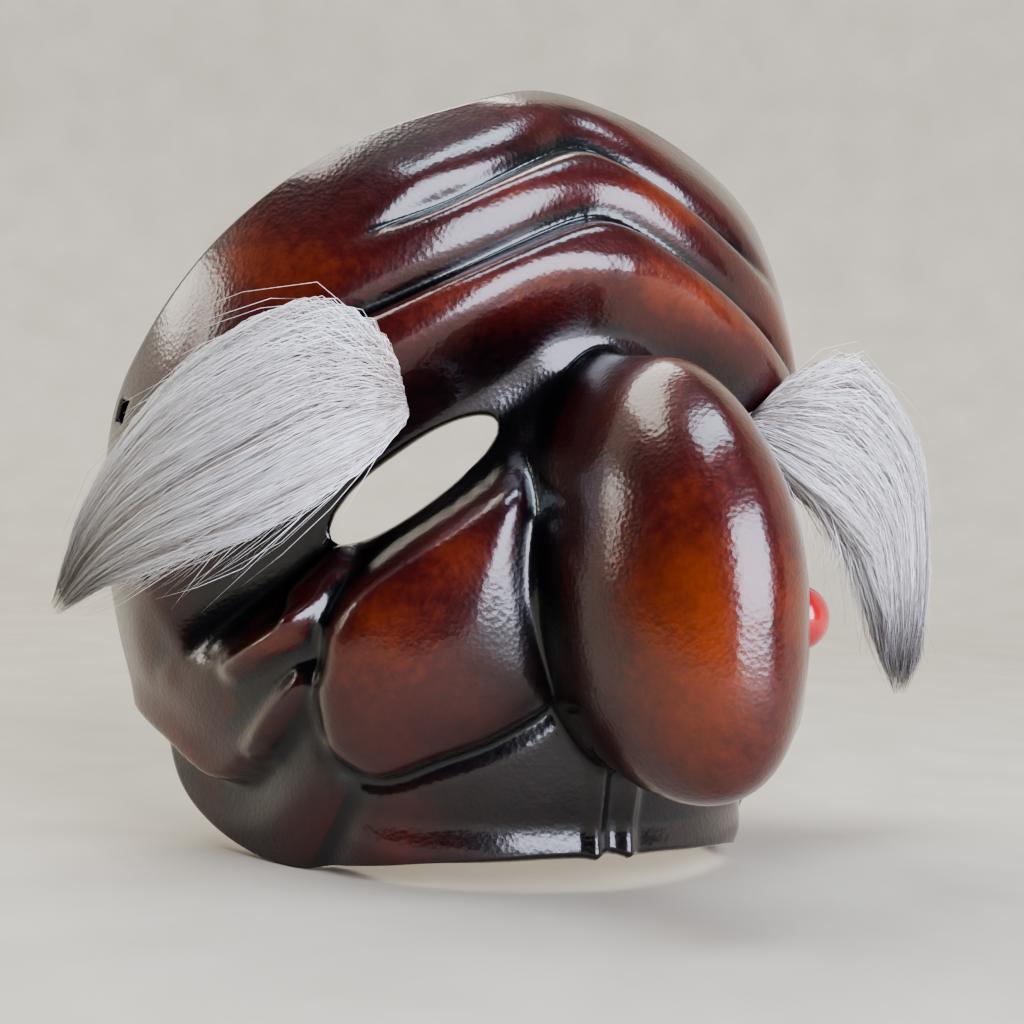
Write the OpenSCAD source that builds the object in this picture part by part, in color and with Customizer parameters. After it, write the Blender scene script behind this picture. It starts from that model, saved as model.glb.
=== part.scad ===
// Grotesque theatre half mask: formed leather with a long hanging nose, fur brows and a cheek wart.
// Millimetres, +Z up, the face looks along -Y, the wearer's left is +X.
// The origin is midway between the two strap holes.
//
// The face is a surface over (u, z): u is the arc length around the head from the midline,
// z the height. The base is an egg-shaped shell, and relief() adds folds, sockets and pads
// along the outward direction. The nose replaces the middle of that surface.

/* [Face] */
// Width across the temples
face_w = 172; // [158:1:186]
// Height from the lip edge to the top of the forehead
face_h = 176; // [162:1:190]
// Depth from the temples to the front of the face, without the nose
face_d = 87; // [80:1:95]
// Thickness of the formed leather
shell_t = 3; // [2.6:0.2:3.4]

/* [Relief] */
// Depth of the folds across the forehead
fold_depth = 6; // [3:0.5:7]
// Depth of the eye sockets
socket_depth = 17; // [12:0.5:18]
// Rise of the cheek pads
cheek_rise = 11; // [7:0.5:13]
// Rise of the crow's feet beside the eyes
feet_rise = 7; // [2:0.5:8]

/* [Nose] */
// Forward reach of the nose from its seat
nose_reach = 48; // [38:1:54]
// Height of the nose at its seat
nose_len = 89; // [80:1:94]
// Greatest width of the nose
nose_w = 51; // [44:1:54]
// How far the nose drops for each millimetre forwards
nose_droop = 0.21; // [0.1:0.01:0.36]
// How much further forward the bulb hangs, as a share of the reach
nose_hang = 0.32; // [0:0.02:0.4]

/* [Eyes] */
// Length of the eye hole
eye_len = 46; // [38:1:50]
// Height of the eye hole
eye_h = 14.5; // [11:0.5:17]

/* [Temples] */
// Diameter of the strap holes
hole_d = 4.4; // [3.6:0.2:5]

/* [Rim] */
// Diameter of the wire that stiffens the rim
wire_d = 2; // [1.6:0.1:2.2]
// Width of the leather hem turned over the wire
hem_w = 9; // [7:0.5:12]

/* [Brows and wart] */
// Length of the hide that carries each brow
hide_len = 46; // [36:1:54]
// Greatest thickness of a brow's fur
fur_t = 15; // [10:0.5:18]
// Diameter of the wart
wart_d = 15; // [11:0.5:17]

/* [Padding] */
// Thickness of the foam pads
foam_t = 6; // [4:0.5:8]

/* [Hidden] */

// Grid of the formed sheet, and the rings around its rim
cols = 57;
rows = 51;
rings = 84;
gap = 0.05;

// Egg shape: half width, depth and upward lean of the face at a few heights
arc_r = 86;
levels = [-112, -80, -35, 5, 46, 66, 74];
half_widths = [64, 77, 86, 86, 75, 58, 46];
depths = [80, 86, 87, 86, 72, 54, 41];
leans = [-18, -8, -1, 6, 28, 50, 60];
stretch = [face_w / 172, face_d / 87, face_h / 176];

// Outline of the mask in (u, z), from the middle of the lip round to the top of the forehead
rim_centre = [0, -18];
rim_line = [[0, -94], [20, -95], [40, -96.5], [60, -99], [80, -103], [98, -102], [118, -94],
    [133, -76], [143, -55], [145.6, -30], [137.8, -6], [122.5, 12], [105, 30], [80, 49], [40, 65.5], [0, 73]];

// Forehead folds: [height at the midline, room above, where it starts to fade, where it ends,
// share of the depth]
folds = [[60.5, 9.5, 38, 68, 0.92], [43.5, 11.5, 50, 86, 1.08]];
socket_line = [[0, 12], [12, 9], [24, 0], [50, -17], [74, -34], [92, -46], [110, -58]];
smile_line = [[146, -72], [130, -77], [118, -81], [106, -86], [97, -86], [88, -80], [78, -70], [72, -58]];
lip_line = [[66, -74], [62, -81], [66, -90], [74, -101]];

// Outline of the cheek pad, and how wide its rolled edge is along that outline
pad_line = [[24, -15], [19, -30], [15, -46], [16, -61], [29, -70], [43, -75.5], [55, -80],
    [63.5, -78], [68.5, -69], [66, -56], [62, -44], [51, -32.5], [38, -23], [28, -15], [24, -15]];
pad_room = [14, 14, 12, 11, 8.5, 9, 15, 15];

// Crow's feet: [root, tip, half width at the root, half width at the tip, share of the rise]
feet = [[[60, -34], [75, -46.5], 6, 5, 1], [[65, -48], [93, -62], 6, 1.2, 1],
    [[67, -60], [87, -80], 4.5, 2.5, 0.7]];

// Places in (u, z): the strap holes, the middle of each eye and the wart
strap_u = 130.5;
strap_z = -5;
eye_u = 49.5;
eye_z = -17.5;
eye_tilt = -33;
wart_u = 38.5;
wart_z = -44;

// Centre lines of the fur, from the root to the tip: the right brow lies swept back along the
// temple, and the left one hangs beside the cheek
fur_right = [[-42, -71, 11], [-63, -66, 6], [-79, -49, -7], [-88, -29, -18], [-94, -8, -31], [-99, 8, -47]];
fur_left = [[43, -71, 11], [62, -71, 4], [80, -64, -9], [89, -60, -25], [94, -58, -43], [95, -58, -61]];
fur_widths = [26, 32, 34, 28, 18, 3];
fur_shares = [0.5, 0.85, 1, 0.8, 0.5, 0.12];

// ---- curves ----

// Slope of the smooth curve through (k, v) at knot i
function knot_slope(k, v, i) =
    let (a = max(i - 1, 0), b = min(i + 1, len(k) - 1)) (v[b] - v[a]) / (k[b] - k[a]);

// Smooth curve through the points (k, v) at t
function spline(k, v, t) =
    let (
        c = max(k[0], min(t, k[len(k) - 1])),
        i = max([for (j = [0:len(k) - 2]) if (c >= k[j]) j]),
        h = k[i + 1] - k[i],
        x = (c - k[i]) / h
    )
    v[i] + (v[i + 1] - v[i]) * x * x * (3 - 2 * x)
        + h * x * (1 - x) * (knot_slope(k, v, i) * (1 - x) - knot_slope(k, v, i + 1) * x);

// 0 below lo, 1 above hi, smooth between
function smooth(lo, hi, x) = let (t = max(0, min(1, (x - lo) / (hi - lo)))) t * t * (3 - 2 * t);

// Quarter circle from 0 at x = 0 to 1 at x = 1, for a surface that rolls over
function roll(x) = let (t = max(0, min(1, x))) sqrt(1 - (1 - t) * (1 - t));

// [signed distance from p to a polyline, share of the way along it]
function beside(p, line) =
    let (
        near = [for (i = [0:len(line) - 2])
            let (
                e = line[i + 1] - line[i],
                s = max(0, min(1, (p - line[i]) * e / (e * e))),
                side = cross(e, p - line[i]) < 0 ? -1 : 1
            )
            [norm(p - line[i] - s * e), side, (i + s) / (len(line) - 1)]],
        low = min([for (g = near) g[0]]),
        best = [for (g = near) if (g[0] == low) g][0]
    )
    [best[0] * best[1], best[2]];

function unit(v) = v / norm(v);

function total(v, k = 0) = k == len(v) - 1 ? v[k] : v[k] + total(v, k + 1);

// ---- the face as a surface ----

function base(u, z) =
    let (turn = u / arc_r * 180 / PI)
    [spline(levels, half_widths, z) * sin(turn), -spline(levels, depths, z) * cos(turn), z];

function outward(u, z) =
    let (turn = u / arc_r * 180 / PI, lean = spline(levels, leans, z))
    [sin(turn) * cos(lean), -cos(turn) * cos(lean), sin(lean)];

// Chevron folds: below each crease the skin rolls up again, above it a trough rises slowly
function fold_relief(a, z) =
    let (
        dips = [for (f = folds)
            let (
                d = (z - f[0] + 0.5 * (sqrt(a * a + 81) - 9)) / sqrt(1.25),
                away = sqrt(d * d + 1.4) - sqrt(1.4),
                near = 1 - smooth(f[2], f[3], a)
            )
            f[4] * near * (1 - roll(away / (d > 0 ? f[1] * (0.4 + 0.6 * near) : 4)))]
    )
    -fold_depth * (dips[0] + dips[1]);

// The eye socket is a valley from the root of the nose out to the temple
function socket_relief(a, z) =
    let (
        g = beside([a, z], socket_line),
        deep = spline([0, 0.17, 0.33, 0.5, 0.67, 0.83, 1], [11, 12, 15, 17, 16, 12, 2], g[1]) / 17,
        above = spline([0, 0.3, 0.6, 1], [20, 24, 26, 18], g[1]),
        under = spline([0, 0.3, 0.6, 1], [8, 16, 16, 10], g[1]),
        up = g[0] / above
    )
    -socket_depth * deep * (g[0] > 0 ? 1 - 0.35 * smooth(0, 1, up) - 0.65 * smooth(0.25, 1, up)
        : 1 - smooth(0, under, -g[0]));

// A crow's foot is a strip with a sharp upper edge that slopes down to its lower side
function foot_relief(a, z, f) =
    let (
        run = f[1] - f[0],
        p = [a, z] - f[0],
        s = p * run / (run * run),
        q = cross(run, p) / norm(run) / (f[2] + (f[3] - f[2]) * max(0, min(1, s)))
    )
    feet_rise * f[4] * smooth(-1.1, 0.6, q) * (1 - smooth(0.8, 1.25, q))
        * smooth(-0.15, 0.2, s) * (1 - smooth(0.88, 1.06, s));

// The outer end of the smile: the cheek hangs over the jaw
function smile_relief(a, z) =
    let (
        g = beside([a, z], smile_line),
        near = smooth(0, 0.12, g[1]) * (1 - smooth(0.8, 1, g[1]))
    )
    near * (g[0] > 0 ? -4.5 * (1 - smooth(0, 14, g[0])) : 1.5 * (1 - smooth(0, 10, -g[0])));

// The crease beside the upper lip
function lip_relief(a, z) =
    let (g = beside([a, z], lip_line))
    -4 * smooth(0, 0.25, g[1]) * (g[0] > 0 ? 1 - roll(g[0] / 7) : 1 - roll(-g[0] / 9))
        + 2.5 * (1 - smooth(-97, -88, z)) * (1 - smooth(55, 75, a))
        + (1 - smooth(-74, -70, z)) * (2 * exp(-pow((a - 5) / 2.2, 2)) - 1.2 * exp(-a * a / 4));

// The cheek pad rolls over quickly at its outer and lower edges, and slowly on top
function cheek_relief(a, z) =
    let (
        g = beside([a, z], pad_line),
        room = spline([for (i = [0:7]) i / 7], pad_room, g[1]),
        inside = max(0, g[0])
    )
    cheek_rise * (0.8 * pow(roll(inside / room), 0.8) + 0.2 * smooth(0, 24, inside))
        - 1.2 * exp(-pow((g[0] + 1.5) / 2.2, 2));

// Everything but the nose, the same on both sides, with the fold at the midline rounded off
function relief(u, z) =
    let (a = abs(u) + 2.5 * exp(-abs(u) / 2.5))
    fold_relief(a, z) + socket_relief(a, z) + smile_relief(a, z) + lip_relief(a, z)
        + cheek_relief(a, z) + total([for (f = feet) foot_relief(a, z, f)]);

// The nose bulges forward from its seat like half a capsule, and droops as it comes forward
nose_seat = [0, -92, -32];
function nose(u, z) =
    let (
        x = u / spline([-80, -60, -30, 0, 14], [20, 22, 22, 21, 19], z),
        y = (z - nose_seat[2]) * 2 / nose_len,
        r = norm([x, y]),
        turn = atan2(y, x),
        tip = min(r, 1.15) * 90,
        side = nose_w / 2 - 2.5 * smooth(-0.7, 0.8, sin(turn) * min(r, 1)),
        low = max(0, -sin(turn) * sin(tip)),
        ahead = nose_reach * sign(cos(tip)) * pow(abs(cos(tip)), 0.85) * (1 + nose_hang * pow(low, 1.5))
    )
    [nose_seat + [side * sin(tip) * cos(turn), -ahead,
        nose_len / 2 * sin(tip) * sin(turn) - nose_droop * ahead], 1 - smooth(0.88, 1.06, r)];

strap_at = [0, base(strap_u, strap_z)[1], strap_z];
strap_x = base(strap_u, strap_z)[0] * stretch[0];

// Point of the face's outer surface at (u, z), in the mask's own frame
function face(u, z) =
    let (
        skin = base(u, z) + relief(u, z) * outward(u, z),
        n = nose(u, z),
        p = skin * (1 - n[1]) + n[0] * n[1] - strap_at
    )
    [p[0] * stretch[0], p[1] * stretch[1], p[2] * stretch[2]];

// Point of the plain egg, set in by depth
function egg(u, z, depth) =
    let (p = base(u, z) - strap_at)
    [p[0] * stretch[0], p[1] * stretch[1], p[2] * stretch[2]] - depth * outward(u, z);

// Distance of the rim from its centre in the (u, z) plane, at an angle above the horizontal
function rim_radius(angle) =
    let (arms = [for (p = rim_line) p - rim_centre])
    spline([for (p = arms) atan2(p[1], p[0])], [for (p = arms) norm(p)], angle);

function rim_spot(angle, share) =
    let (r = share * rim_radius(asin(sin(angle))))
    rim_centre + r * [cos(angle), sin(angle)];

// A square grid from -1 to 1 laid over the outline, closer together near the midline
function sheet_spot(a, b) =
    let (
        c = a * (0.72 + 0.28 * a * a),
        p = [c * sqrt(1 - b * b / 2), b * sqrt(1 - c * c / 2)],
        angle = atan2(p[1], abs(p[0]))
    )
    rim_centre + rim_radius(angle) * p;

// ---- solids ----

// Two triangles for a quad of a grid, with the diagonal mirrored about the midline
function split(a, b, c, d, flip) = flip ? [[a, b, d], [b, c, d]] : [[a, b, c], [a, c, d]];

// A closed sheet between an outer and an inner grid of points
module sheet(outer, inner) {
    n = len(outer[0]);
    m = len(outer);
    back = n * m;
    points = [for (grid = [outer, inner]) for (row = grid) for (p = row) p];
    skins = [for (j = [0:m - 2]) for (i = [0:n - 2])
        let (k = j * n + i, flip = i < (n - 1) / 2)
        each concat(
            split(k, k + n, k + n + 1, k + 1, flip),
            [for (t = split(k, k + n, k + n + 1, k + 1, flip)) [t[2] + back, t[1] + back, t[0] + back]])];
    low_high = [for (i = [0:n - 2])
        let (k = (m - 1) * n + i)
        each concat(split(i, i + 1, i + 1 + back, i + back, true),
            split(k + 1, k, k + back, k + 1 + back, false))];
    sides = [for (j = [0:m - 2])
        let (k = j * n, l = k + n - 1)
        each concat(split(k + n, k, k + back, k + n + back, true),
            split(l, l + n, l + n + back, l + back, false))];
    polyhedron(points, concat(skins, low_high, sides));
}

// A closed ring: the section(i) points of every station joined to the next
module loop_sweep(stations) {
    n = len(stations[0]);
    m = len(stations);
    points = [for (s = stations) for (p = s) p];
    polyhedron(points, [for (j = [0:m - 1]) for (i = [0:n - 1])
        let (a = j * n + i, b = j * n + (i + 1) % n, c = (j + 1) % m * n)
        each [[a, b, c + (i + 1) % n], [a, c + (i + 1) % n, c + i]]]);
}

// A closed loft: sections joined in turn, with a point at each end
module loft(sections, first, last) {
    n = len(sections[0]);
    m = len(sections);
    points = concat([for (s = sections) for (p = s) p], [first, last]);
    walls = [for (j = [0:m - 2]) for (i = [0:n - 1])
        let (a = j * n + i, b = j * n + (i + 1) % n)
        each [[a, b, b + n], [a, b + n, a + n]]];
    ends = [for (i = [0:n - 1])
        let (j = (i + 1) % n)
        each [[n * m, j, i], [n * m + 1, (m - 1) * n + i, (m - 1) * n + j]]];
    polyhedron(points, concat(walls, ends));
}

// A patch with a rounded outline in (u, z), from low to high along the outward direction.
// It lies on the face where on_face is true, and otherwise on the plain egg.
module patch(c, r, tilt, low, high, on_face, seat = 0, sectors = 28, steps = 5) {
    function spot(s, angle) =
        let (q = [r[0] * s * cos(angle), r[1] * s * sin(angle)])
        c + [q[0] * cos(tilt) - q[1] * sin(tilt), q[0] * sin(tilt) + q[1] * cos(tilt)];
    function lift(s) = (high - low) * sqrt(1 - pow(s, 6));
    function at(s, angle, top) =
        let (q = spot(s, angle), full = high - low, h = low
            + (top ? seat * (full - lift(s)) + lift(s) : seat * (full - lift(s))))
        on_face ? face(q[0], q[1]) + h * outward(q[0], q[1]) : egg(q[0], q[1], -h);
    shares = [for (k = [1:steps]) sin(90 * k / steps)];
    top = [for (k = [0:steps - 1]) [for (i = [0:sectors - 1]) at(shares[k], 360 * i / sectors, true)]];
    low_side = [for (k = [steps - 2:-1:0]) [for (i = [0:sectors - 1]) at(shares[k], 360 * i / sectors, false)]];
    loft(concat(low_side == [] ? [] : [for (k = [len(low_side) - 1:-1:0]) low_side[k]],
        [for (k = [steps - 1:-1:0]) top[k]]), at(0, 0, false), at(0, 0, true));
}

// A frame that looks along z_dir with its x axis close to x_dir
module aim(at, z_dir, x_dir) {
    w = unit(z_dir);
    u = unit(x_dir - (x_dir * w) * w);
    v = cross(w, u);
    multmatrix([[u[0], v[0], w[0], at[0]], [u[1], v[1], w[1], at[1]], [u[2], v[2], w[2], at[2]]])
        children();
}

// Leaf-shaped cutter for one eye, straight through the socket
module eye_cutter(side) {
    along = [cos(eye_tilt), sin(eye_tilt)];
    inner = face(side * (eye_u - 21 * along[0]), eye_z - 21 * along[1]);
    outer = face(side * (eye_u + 21 * along[0]), eye_z + 21 * along[1]);
    aim((inner + outer) / 2, outward(side * eye_u, eye_z), (outer - inner) * side)
        linear_extrude(40, center = true)
            polygon([for (i = [0:35]) [eye_len / 2 * cos(i * 10), eye_h / 2 * sin(i * 10)]]);
}

module strap_bore(side) {
    translate([side * strap_x, 0, 0]) rotate([0, 90, 0]) cylinder(d = hole_d, h = 30, center = true, $fn = 48);
}

// ---- the pieces ----

module mask_shell() {
    // The surface is sampled at half steps, then each point is averaged with its neighbours
    fine = [for (j = [0:2 * rows - 2]) [for (i = [0:2 * cols - 2])
        let (s = sheet_spot(i / (cols - 1) - 1, j / (rows - 1) - 1)) face(s[0], s[1])]];
    function weights(k, last) = k == 0 || k == last ? [[0, 1]] : [[-1, 0.25], [0, 0.5], [1, 0.25]];
    outer = [for (j = [0:rows - 1]) [for (i = [0:cols - 1])
        total([for (a = weights(i, cols - 1)) for (b = weights(j, rows - 1))
            a[1] * b[1] * fine[2 * j + b[0]][2 * i + a[0]]])]];
    function at(i, j) = outer[max(0, min(rows - 1, j))][max(0, min(cols - 1, i))];
    function facing(i, j) =
        let (k = max(1, min(cols - 2, i)), l = max(1, min(rows - 2, j)))
        unit(cross(at(k + 1, l) - at(k - 1, l), at(k, l + 1) - at(k, l - 1)));
    inner = [for (j = [0:rows - 1]) [for (i = [0:cols - 1])
        let (
            edge = i == 0 || j == 0 || i == cols - 1 || j == rows - 1,
            mean = (at(i - 1, j) + at(i + 1, j) + at(i, j - 1) + at(i, j + 1)) / 8 + at(i, j) / 2
        )
        (edge ? at(i, j) : mean) - shell_t * facing(i, j)]];
    color([0.3, 0.08, 0.04])
    difference() {
        sheet(outer, inner);
        for (side = [-1, 1]) {
            eye_cutter(side);
            strap_bore(side);
        }
    }
}

// Section point at distance s in from the rim and depth d under the outer surface
function rim_point(angle, s, d) =
    let (
        q = rim_spot(angle, 1),
        edge = face(q[0], q[1]),
        inside = rim_spot(angle, 0.95),
        inward = unit(face(inside[0], inside[1]) - edge),
        ahead = rim_spot(angle + 1, 1),
        behind = rim_spot(angle - 1, 1),
        run = face(ahead[0], ahead[1]) - face(behind[0], behind[1]),
        out = unit(cross(run, inward))
    )
    edge + s * inward - d * (out * outward(q[0], q[1]) < 0 ? -out : out);

module rim_wire() {
    color([0.6, 0.58, 0.55])
    loop_sweep([for (k = [0:rings - 1]) [for (i = [7:-1:0])
        rim_point(360 * k / rings, 1.6 + wire_d / 2 * cos(45 * i),
            shell_t + 0.1 + wire_d / 2 + wire_d / 2 * sin(45 * i))]]);
}

// The hem is a strip of thin leather wrapped round the wire and glued down inside the rim
module rim_hem() {
    top = shell_t + gap;
    r = wire_d / 2 + gap;
    section = [[-0.1, top], [-0.1, top + 1.8 * r], [0.6, top + 2 * r + 0.8], [2.6, top + 2 * r + 0.8],
        [3.2, top + 1.8 * r], [3.5, top + 1], [hem_w, top + 0.8], [hem_w, top], [2.75, top],
        [2.7, top + 1.4 * r], [2.1, top + 2 * r], [1.1, top + 2 * r], [0.5, top + 1.4 * r], [0.45, top]];
    color([0.2, 0.1, 0.06])
    difference() {
        loop_sweep([for (k = [0:rings - 1]) [for (p = section) rim_point(360 * k / rings, p[0], p[1])]]);
        for (side = [-1, 1]) strap_bore(side);
    }
}

module brow_hide(side) {
    color([0.75, 0.7, 0.64])
    patch([side * 72, -6], [hide_len / 2, 8], -16 * side, 0.1, 1.4, true, sectors = 24, steps = 4);
}

// The fur of one brow is a soft lens of hair swept along a route of centre points
module brow_fur(route) {
    n = len(route);
    steps = 14;
    stops = [for (i = [0:n - 1]) i];
    function centre(t) = [for (k = [0:2]) spline(stops, [for (p = route) p[k]], t)];
    function ring(t) =
        let (
            full = roll(0.25 + t),
            run = unit(centre(t + 0.05) - centre(t - 0.05)),
            flat = unit([0, 0, 1] - run[2] * run),
            up = cross(run, flat)
        )
        [for (i = [0:11]) centre(t) + full * spline(stops, fur_widths, t) / 2 * cos(30 * i) * flat
            + full * spline(stops, fur_shares, t) * fur_t / 2 * sin(30 * i) * up];
    color([0.72, 0.71, 0.7])
    loft([for (k = [0:steps]) ring(k * (n - 1) / steps)], route[0], route[n - 1]);
}

// The wart is a domed bead with a flat back, let into the leather
module cheek_wart() {
    color([0.75, 0.05, 0.04])
    aim(face(wart_u, wart_z) + 2 * outward(wart_u, wart_z), outward(wart_u, wart_z), [1, 0, 0])
    intersection() {
        sphere(d = wart_d, $fn = 48);
        translate([-wart_d, -wart_d, -2.8]) cube(2 * wart_d);
    }
}

module forehead_pad() {
    top = -shell_t - fold_depth - 0.8;
    color([0.16, 0.15, 0.15])
    patch([0, 36], [38, 13], 0, top - foam_t, top, false, 0.5);
}

module cheek_pad(side) {
    color([0.16, 0.15, 0.15])
    patch([side * 120, -46], [12, 18], 0, -shell_t - 5 - foam_t / 2, -shell_t - 5, false, 0.5,
        sectors = 24, steps = 4);
}

mask_shell();
rim_wire();
rim_hem();
brow_hide(-1);  // brow_hide_right
brow_hide(1);  // brow_hide_left
brow_fur(fur_right);  // brow_fur_right
brow_fur(fur_left);  // brow_fur_left
cheek_wart();
forehead_pad();
cheek_pad(-1);  // cheek_pad_right
cheek_pad(1);  // cheek_pad_left
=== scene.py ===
import bpy
import numpy as np
from mathutils import Matrix


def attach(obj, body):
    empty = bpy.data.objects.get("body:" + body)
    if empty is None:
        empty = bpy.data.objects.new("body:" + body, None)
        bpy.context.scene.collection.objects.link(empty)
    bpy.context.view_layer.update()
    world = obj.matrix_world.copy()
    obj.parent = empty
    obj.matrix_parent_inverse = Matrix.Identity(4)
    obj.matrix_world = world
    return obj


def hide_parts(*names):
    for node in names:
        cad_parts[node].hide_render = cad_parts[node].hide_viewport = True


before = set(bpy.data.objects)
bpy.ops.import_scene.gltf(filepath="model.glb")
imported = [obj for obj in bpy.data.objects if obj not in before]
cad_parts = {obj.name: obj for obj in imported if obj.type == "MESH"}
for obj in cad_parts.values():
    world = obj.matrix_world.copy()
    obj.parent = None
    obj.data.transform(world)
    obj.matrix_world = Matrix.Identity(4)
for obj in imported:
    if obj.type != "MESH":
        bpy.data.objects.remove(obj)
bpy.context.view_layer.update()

mm = 0.001                                   # shapes are worked out in millimetres
scene = bpy.context.scene
print("frame loaded,", len(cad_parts), "nodes")


# camera and studio lights
cameraSettings = {
    "target": (-13.9, -55.4, -19.0),         # the point the camera looks at, mm
    "azimuth": -27.4,                        # degrees round from the front, minus is the mask's right
    "elevation": 1.33,
    "roll": 2.53,
    "distance": 398,
    "lens": 63.4,
}

lightSettings = {                            # place in metres, width, height, watts, colour
    "sideWindow": ((0.14, -0.95, 0.30), 0.80, 0.72, 26, (0.80, 0.82, 1.0)),
    "skyPanel": ((0.02, -0.30, 1.20), 0.9, 0.35, 12, (0.70, 0.83, 1.0)),
    "wallWash": ((-0.25, 0.62, 1.20), 1.6, 0.6, 20, (1.0, 0.95, 0.88)),
    "leftCard": ((-0.80, 0.62, 0.12), 0.6, 0.7, 9, (1.0, 0.93, 0.84)),
}


def viewAxes(azimuth, elevation, roll):
    # back points from the target to the camera; right and up are turned by roll about it
    a, e, r = np.radians([azimuth, elevation, roll])
    back = np.array([np.sin(a) * np.cos(e), -np.cos(a) * np.cos(e), np.sin(e)])
    right = np.array([np.cos(a), np.sin(a), 0.0])
    up = np.cross(back, right)
    return np.cos(r) * right + np.sin(r) * up, np.cos(r) * up - np.sin(r) * right, back


def addCamera(settings):
    right, up, back = viewAxes(settings["azimuth"], settings["elevation"], settings["roll"])
    place = (np.array(settings["target"]) + back * settings["distance"]) * mm
    data = bpy.data.cameras.new("mainCamera")
    data.lens = settings["lens"]
    data.clip_start = 0.01
    camera = bpy.data.objects.new("mainCamera", data)
    camera.matrix_world = Matrix([[right[k], up[k], back[k], place[k]] for k in range(3)] + [[0, 0, 0, 1]])
    scene.collection.objects.link(camera)
    scene.camera = camera


def addLight(name, place, width, height, power, color):
    data = bpy.data.lights.new(name, "AREA")
    data.shape = "RECTANGLE"
    data.size, data.size_y = width, height
    data.energy = power
    data.color = color
    light = bpy.data.objects.new(name, data)
    back = np.array(place) - np.array(cameraSettings["target"]) * mm
    back = back / np.linalg.norm(back)
    right = np.cross((0, 0, 1), back)
    right = right / np.linalg.norm(right)
    up = np.cross(back, right)
    light.matrix_world = Matrix([[right[k], up[k], back[k], place[k]] for k in range(3)] + [[0, 0, 0, 1]])
    scene.collection.objects.link(light)


# curves that the pieces share
def smooth(lo, hi, x):
    # 0 below lo, 1 above hi, and 3t^2 - 2t^3 between
    t = np.clip((x - lo) / (hi - lo), 0, 1)
    return t * t * (3 - 2 * t)


def rollOver(x):
    # quarter circle from 0 at x = 0 to 1 at x = 1
    return np.sqrt(1 - (1 - np.clip(x, 0, 1)) ** 2)


def curveThrough(knots, values, t):
    # smooth cubic through the points (knot, value), as whole arrays
    k, v = np.asarray(knots, float), np.asarray(values, float)
    t = np.clip(t, k[0], k[-1])
    i = np.clip(np.searchsorted(k, t, side="right") - 1, 0, len(k) - 2)
    low, high = np.maximum(np.arange(len(k)) - 1, 0), np.minimum(np.arange(len(k)) + 1, len(k) - 1)
    slope = (v[high] - v[low]) / (k[high] - k[low])
    h = k[i + 1] - k[i]
    x = (t - k[i]) / h
    bend = h * x * (1 - x) * (slope[i] * (1 - x) - slope[i + 1] * x)
    return v[i] + (v[i + 1] - v[i]) * x * x * (3 - 2 * x) + bend


def besideLine(a, z, line, n=150):
    # signed distance from (a, z) to a smooth line, and the share of the way along it
    line = np.asarray(line, float)
    q = np.linspace(0, len(line) - 1, n)
    points = np.stack([curveThrough(np.arange(len(line)), line[:, k], q) for k in (0, 1)], 1)
    best, side, share = np.full(a.shape, 1e9), np.ones(a.shape), np.zeros(a.shape)
    for k in range(n - 1):
        e = points[k + 1] - points[k]
        s = np.clip(((a - points[k, 0]) * e[0] + (z - points[k, 1]) * e[1]) / (e @ e), 0, 1)
        da, dz = a - points[k, 0] - s * e[0], z - points[k, 1] - s * e[1]
        d = np.hypot(da, dz)
        near = d < best
        best = np.where(near, d, best)
        side = np.where(near, np.where(e[0] * dz - e[1] * da < 0, -1, 1), side)
        share = np.where(near, (k + s) / (n - 1), share)
    return best * side, share


def unit(v):
    # each vector divided by its length
    return v / np.maximum(np.linalg.norm(v, axis=-1, keepdims=True), 1e-9)


def gridNormals(points, margin=3):
    # the edge cells take the normal found a little way in
    normal = unit(np.cross(np.gradient(points, axis=1), np.gradient(points, axis=0)))
    rows, columns = (np.clip(np.arange(n), margin, n - 1 - margin) for n in points.shape[:2])
    return normal[rows][:, columns]


def blurGrid(points, width):
    # box blur, three passes along each grid direction, that leaves the edges where they are
    out = points
    for axis in (0, 1):
        for _ in range(3):
            pad = [(0, 0)] * out.ndim
            pad[axis] = (width + 1, width)
            total = np.cumsum(np.pad(out, pad, mode="reflect", reflect_type="odd"), axis=axis)
            n = out.shape[axis]
            ahead = np.take(total, np.arange(2 * width + 1, 2 * width + 1 + n), axis=axis)
            behind = np.take(total, np.arange(0, n), axis=axis)
            out = (ahead - behind) / (2 * width + 1)
    return out


# the face is a surface over (u, z): u is the arc length round the head and z the height
faceShape = {
    "arcRadius": 86,
    "levels": [-112, -80, -35, 5, 46, 66, 74],
    "halfWidths": [64, 77, 86, 86, 75, 58, 46],
    "depths": [80, 86, 87, 86, 72, 54, 41],
    "leans": [-18, -8, -1, 6, 28, 50, 60],
    "strap": (130.5, -5),                    # the strap hole in (u, z)
    "strapRadius": 2.2,
    "eye": (49.5, -17.5),                    # middle of the eye hole in (u, z)
    "eyeRadii": (23, 7.25),
    "eyeTilt": -33,
    "thickness": 3,
    "rimCentre": (0, -18),
    "rimLine": [(0, -94), (20, -95), (40, -96.5), (60, -99), (80, -103), (98, -102), (118, -94),
                (133, -76), (143, -55), (145.6, -30), (137.8, -6), (122.5, 12), (105, 30), (80, 49),
                (40, 65.5), (0, 73)],
}

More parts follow.
